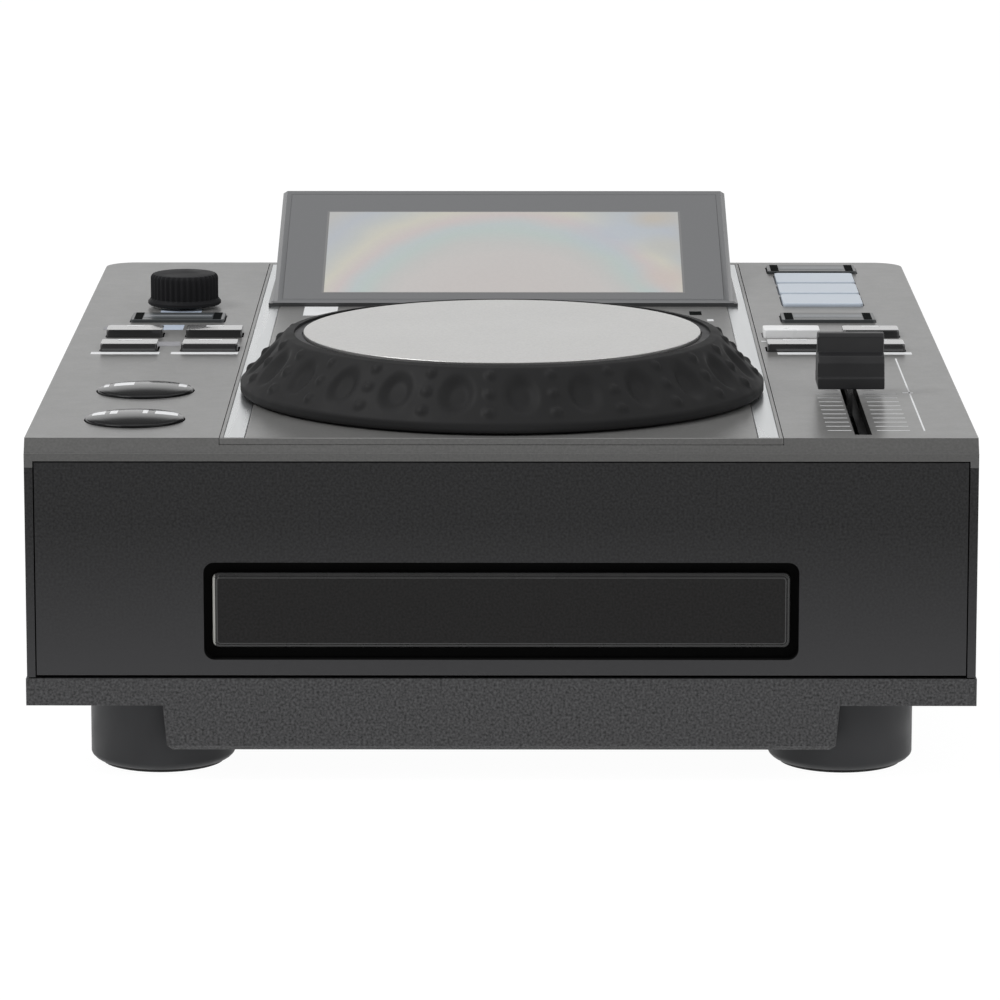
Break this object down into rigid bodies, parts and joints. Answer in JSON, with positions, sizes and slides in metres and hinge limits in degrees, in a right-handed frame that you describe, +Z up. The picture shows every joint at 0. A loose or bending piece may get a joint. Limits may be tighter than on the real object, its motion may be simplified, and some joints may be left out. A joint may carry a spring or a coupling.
{
  "type": "tabletop disc player",
  "caption": "Tabletop disc player with a large jog wheel, tilted display, motorised front disc tray, pitch fader, push keys and a push-and-turn selector, on four round feet.",
  "frame": {"origin": "middle of the bounding box's bottom face, on the plane that the feet stand on", "axes": "+Z up, the front panel faces -Y, +X to the user's right"},
  "size_m": [0.2226, 0.288, 0.1031],
  "materials": {
    "base_plastic": "charcoal plastic, pebble grain",
    "belt_rubber": "black rubber",
    "board_laminate": "circuit board laminate",
    "cap_plastic": "black satin plastic",
    "cast_metal": "die-cast metal",
    "deck_plastic": "satin moulded charcoal plastic, fine pebble grain",
    "display_glass": "smoked cover glass, pale screen with soft pastel reflections",
    "display_plastic": "dark satin plastic",
    "door_plastic": "dark smooth plastic",
    "foot_plastic": "grey moulded plastic",
    "gear_plastic": "natural acetal",
    "inner_plastic": "black ABS",
    "jog_plate_metal": "satin silver, fine circular grain",
    "jog_rubber": "black rubber with finger dimples",
    "key_plastic": "black plastic",
    "knob_plastic": "black knurled soft-touch plastic",
    "lcd_metal": "tin plated frame",
    "motor_steel": "drawn motor can",
    "pad_plastic": "pale translucent plastic",
    "panel_plastic": "charcoal plastic, fine pebble grain",
    "pulley_brass": "turned brass",
    "rear_steel": "black painted sheet steel",
    "rear_steel_bright": "zinc plated sheet steel",
    "rocker_plastic": "black rocker",
    "round_plastic": "smoked translucent plastic",
    "screw_steel": "zinc plated steel",
    "shaft_steel": "ground steel",
    "slim_plastic": "smoked translucent plastic",
    "socket_plastic": "black moulded plastic",
    "tray_plastic": "black moulded plastic",
    "trim_silver": "silver trim, satin",
    "turntable_plastic": "black plastic",
    "white_key_plastic": "white plastic",
    "white_plastic": "white acetal"
  },
  "bodies": {
    "case": {"top_cover": "deck_plastic", "centre_panel": "deck_plastic", "trim_strips": "trim_silver", "front_panel": "panel_plastic", "base_pan": "base_plastic", "rear_panel": "rear_steel", "feet": "foot_plastic", "case_screws": "screw_steel", "display_housing": "display_plastic", "display_glass": "display_glass", "lcd_module": "lcd_metal", "jog_bearing_housing": "cast_metal", "select_encoder": "cast_metal", "key_boards": "board_laminate", "fader_body": "cast_metal", "loader_chassis": "inner_plastic", "clamp_bridge": "rear_steel_bright", "loading_motor": "motor_steel", "drive_belt": "belt_rubber", "main_board": "board_laminate", "line_sockets": "socket_plastic", "power_jack": "socket_plastic", "power_switch": "socket_plastic"},
    "tray": {"disc_tray": "tray_plastic", "tray_door": "door_plastic"},
    "loading_gear": {"pulley_gear": "gear_plastic"},
    "motor_pulley": {"motor_pulley": "pulley_brass"},
    "traverse": {"traverse_frame": "inner_plastic", "traverse_motors": "motor_steel", "guide_rod": "shaft_steel"},
    "turntable": {"turntable": "turntable_plastic"},
    "sled": {"pickup_sled": "inner_plastic"},
    "lead_screw": {"lead_screw": "shaft_steel"},
    "disc_clamp": {"disc_clamp": "white_plastic"},
    "jog": {"jog_plate": "jog_plate_metal", "jog_ring": "jog_rubber", "jog_carrier": "inner_plastic", "jog_shaft": "shaft_steel", "jog_encoder_disc": "inner_plastic"},
    "select_shaft": {"select_shaft": "shaft_steel"},
    "select_knob": {"select_knob": "knob_plastic"},
    "pitch_fader": {"fader_cap": "cap_plastic", "fader_lever": "shaft_steel"},
    "power_rocker": {"power_rocker": "rocker_plastic"},
    "left_key_outer_front": {"left_key_outer_front": "key_plastic"},
    "left_key_inner_front": {"left_key_inner_front": "key_plastic"},
    "left_key_outer_rear": {"left_key_outer_rear": "key_plastic"},
    "left_key_inner_rear": {"left_key_inner_rear": "key_plastic"},
    "left_slim_key": {"left_slim_key": "slim_plastic"},
    "play_button": {"play_button": "round_plastic"},
    "cue_button": {"cue_button": "round_plastic"},
    "right_key_inner_front": {"right_key_inner_front": "key_plastic"},
    "right_key_outer_front": {"right_key_outer_front": "key_plastic"},
    "right_key_inner_rear": {"right_key_inner_rear": "white_key_plastic"},
    "right_key_outer_rear": {"right_key_outer_rear": "key_plastic"},
    "right_slim_key_front": {"right_slim_key_front": "slim_plastic"},
    "pad_front": {"pad_front": "pad_plastic"},
    "pad_middle": {"pad_middle": "pad_plastic"},
    "pad_rear": {"pad_rear": "pad_plastic"},
    "right_slim_key_rear": {"right_slim_key_rear": "slim_plastic"}
  },
  "joints": [
    {"name": "tray_slide", "type": "slide", "parent": "case", "child": "tray", "axis": [0, -1, 0], "range_m": [0, 0.13]},
    {"name": "loading_gear_spin", "type": "hinge", "parent": "case", "child": "loading_gear", "pos_m": [-0.0476, -0.126, 0.036], "axis": [0, 0, 1], "range_deg": [-5, 892]},
    {"name": "motor_pulley_spin", "type": "hinge", "parent": "case", "child": "motor_pulley", "pos_m": [-0.008, -0.126, 0.032], "axis": [0, 0, 1], "range_deg": [-5, 2751]},
    {"name": "traverse_tilt", "type": "hinge", "parent": "case", "child": "traverse", "pos_m": [0, 0.042, 0.0334], "axis": [1, 0, 0], "range_deg": [0, 4]},
    {"name": "turntable_spin", "type": "hinge", "parent": "traverse", "child": "turntable", "pos_m": [0, -0.072, 0.04], "axis": [0, 0, 1], "continuous": true},
    {"name": "sled_slide", "type": "slide", "parent": "traverse", "child": "sled", "axis": [0, 1, 0], "range_m": [0, 0.035]},
    {"name": "lead_screw_spin", "type": "hinge", "parent": "traverse", "child": "lead_screw", "pos_m": [0.0265, -0.044, 0.0377], "axis": [0, 1, 0], "range_deg": [-5, 3155]},
    {"name": "clamp_spin", "type": "hinge", "parent": "case", "child": "disc_clamp", "pos_m": [0, -0.072, 0.049], "axis": [0, 0, 1], "continuous": true},
    {"name": "jog_spin", "type": "hinge", "parent": "case", "child": "jog", "pos_m": [0, -0.0755, 0.09], "axis": [0, 0, 1], "continuous": true},
    {"name": "select_push", "type": "slide", "parent": "case", "child": "select_shaft", "axis": [0, 0, -1], "range_m": [0, 0.0005], "stiffness_N_per_m": 900, "springref_m": -0.0008},
    {"name": "select_turn", "type": "hinge", "parent": "select_shaft", "child": "select_knob", "pos_m": [-0.085, 0.056, 0.088], "axis": [0, 0, 1], "continuous": true},
    {"name": "pitch_slide", "type": "slide", "parent": "case", "child": "pitch_fader", "axis": [0, 1, 0], "range_m": [-0.05, 0.05]},
    {"name": "power_rock", "type": "hinge", "parent": "case", "child": "power_rocker", "pos_m": [0.08, 0.1306, 0.048], "axis": [-1, 0, 0], "range_deg": [0, 21]},
    {"name": "left_key_outer_front_push", "type": "slide", "parent": "case", "child": "left_key_outer_front", "axis": [0, 0, -1], "range_m": [0, 0.0008], "stiffness_N_per_m": 500, "springref_m": -0.0006},
    {"name": "left_key_inner_front_push", "type": "slide", "parent": "case", "child": "left_key_inner_front", "axis": [0, 0, -1], "range_m": [0, 0.0008], "stiffness_N_per_m": 500, "springref_m": -0.0006},
    {"name": "left_key_outer_rear_push", "type": "slide", "parent": "case", "child": "left_key_outer_rear", "axis": [0, 0, -1], "range_m": [0, 0.0008], "stiffness_N_per_m": 500, "springref_m": -0.0006},
    {"name": "left_key_inner_rear_push", "type": "slide", "parent": "case", "child": "left_key_inner_rear", "axis": [0, 0, -1], "range_m": [0, 0.0008], "stiffness_N_per_m": 500, "springref_m": -0.0006},
    {"name": "left_slim_key_push", "type": "slide", "parent": "case", "child": "left_slim_key", "axis": [0, 0, -1], "range_m": [0, 0.0008], "stiffness_N_per_m": 500, "springref_m": -0.0006},
    {"name": "play_button_push", "type": "slide", "parent": "case", "child": "play_button", "axis": [0, 0, -1], "range_m": [0, 0.0008], "stiffness_N_per_m": 500, "springref_m": -0.0006},
    {"name": "cue_button_push", "type": "slide", "parent": "case", "child": "cue_button", "axis": [0, 0, -1], "range_m": [0, 0.0008], "stiffness_N_per_m": 500, "springref_m": -0.0006},
    {"name": "right_key_inner_front_push", "type": "slide", "parent": "case", "child": "right_key_inner_front", "axis": [0, 0, -1], "range_m": [0, 0.0008], "stiffness_N_per_m": 500, "springref_m": -0.0006},
    {"name": "right_key_outer_front_push", "type": "slide", "parent": "case", "child": "right_key_outer_front", "axis": [0, 0, -1], "range_m": [0, 0.0008], "stiffness_N_per_m": 500, "springref_m": -0.0006},
    {"name": "right_key_inner_rear_push", "type": "slide", "parent": "case", "child": "right_key_inner_rear", "axis": [0, 0, -1], "range_m": [0, 0.0008], "stiffness_N_per_m": 500, "springref_m": -0.0006},
    {"name": "right_key_outer_rear_push", "type": "slide", "parent": "case", "child": "right_key_outer_rear", "axis": [0, 0, -1], "range_m": [0, 0.0008], "stiffness_N_per_m": 500, "springref_m": -0.0006},
    {"name": "right_slim_key_front_push", "type": "slide", "parent": "case", "child": "right_slim_key_front", "axis": [0, 0, -1], "range_m": [0, 0.0008], "stiffness_N_per_m": 500, "springref_m": -0.0006},
    {"name": "pad_front_push", "type": "slide", "parent": "case", "child": "pad_front", "axis": [0, 0, -1], "range_m": [0, 0.0008], "stiffness_N_per_m": 500, "springref_m": -0.0006},
    {"name": "pad_middle_push", "type": "slide", "parent": "case", "child": "pad_middle", "axis": [0, 0, -1], "range_m": [0, 0.0008], "stiffness_N_per_m": 500, "springref_m": -0.0006},
    {"name": "pad_rear_push", "type": "slide", "parent": "case", "child": "pad_rear", "axis": [0, 0, -1], "range_m": [0, 0.0008], "stiffness_N_per_m": 500, "springref_m": -0.0006},
    {"name": "right_slim_key_rear_push", "type": "slide", "parent": "case", "child": "right_slim_key_rear", "axis": [0, 0, -1], "range_m": [0, 0.0008], "stiffness_N_per_m": 500, "springref_m": -0.0006}
  ],
  "couplings": [
    {"joint": "loading_gear_spin", "follows": "tray_slide", "rad_per_m": 119.05},
    {"joint": "motor_pulley_spin", "follows": "tray_slide", "rad_per_m": 368.66},
    {"joint": "traverse_tilt", "follows": "tray_slide", "rad_per_m": 0.5365},
    {"joint": "lead_screw_spin", "follows": "sled_slide", "rad_per_m": 1570.8}
  ]
}
